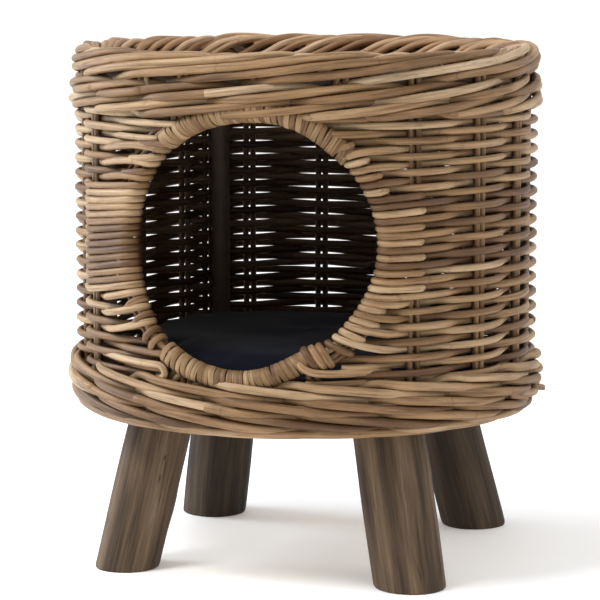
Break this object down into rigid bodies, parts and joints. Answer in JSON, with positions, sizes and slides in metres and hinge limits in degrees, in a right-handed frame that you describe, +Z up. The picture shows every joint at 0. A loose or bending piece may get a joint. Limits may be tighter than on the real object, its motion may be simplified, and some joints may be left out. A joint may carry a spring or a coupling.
{
  "type": "wicker pet bed basket",
  "caption": "Round woven rattan pet house with a round front doorway, a sunk woven top, splayed branch-wood legs and a loose dark cushion inside.",
  "frame": {"origin": "on the floor, midway between the basket's sides", "axes": "+Z up, the doorway faces -Y, +X to the right of someone looking in"},
  "size_m": [0.444, 0.444, 0.4745],
  "materials": {
    "rattan_rod": "sanded, unvarnished",
    "rattan_peel": "split peel, matt",
    "rattan_pole": "bark on, matt",
    "leg_wood": "weathered, matt",
    "plywood": "raw",
    "steel": "zinc plated",
    "cushion_fabric": "brushed cloth"
  },
  "bodies": {
    "basket": {"base_board": "plywood", "base_hoop": "rattan_pole", "top_hoop": "rattan_pole", "post_front_left": "rattan_pole", "post_front_right": "rattan_pole", "post_rear_left": "rattan_pole", "post_rear_right": "rattan_pole", "top_bearer_left": "rattan_pole", "top_bearer_right": "rattan_pole", "frame_nails": "steel", "stakes": "rattan_rod", "wall_weave": "rattan_rod", "foot_border": "rattan_rod", "base_border": "rattan_rod", "upper_wale": "rattan_rod", "top_border": "rattan_rod", "top_panel": "rattan_rod", "door_ring": "rattan_pole", "door_binding_top": "rattan_peel", "door_binding_bottom": "rattan_peel", "door_wrap_left": "rattan_rod", "door_wrap_right": "rattan_rod", "leg_front_left": "leg_wood", "leg_front_right": "leg_wood", "leg_rear_left": "leg_wood", "leg_rear_right": "leg_wood", "leg_screws": "steel"},
    "cushion": {"cushion": "cushion_fabric"}
  },
  "joints": [
    {"name": "cushion_lift", "type": "slide", "parent": "basket", "child": "cushion", "axis": [0, 0, 1], "range_m": [0, 0.12]}
  ]
}
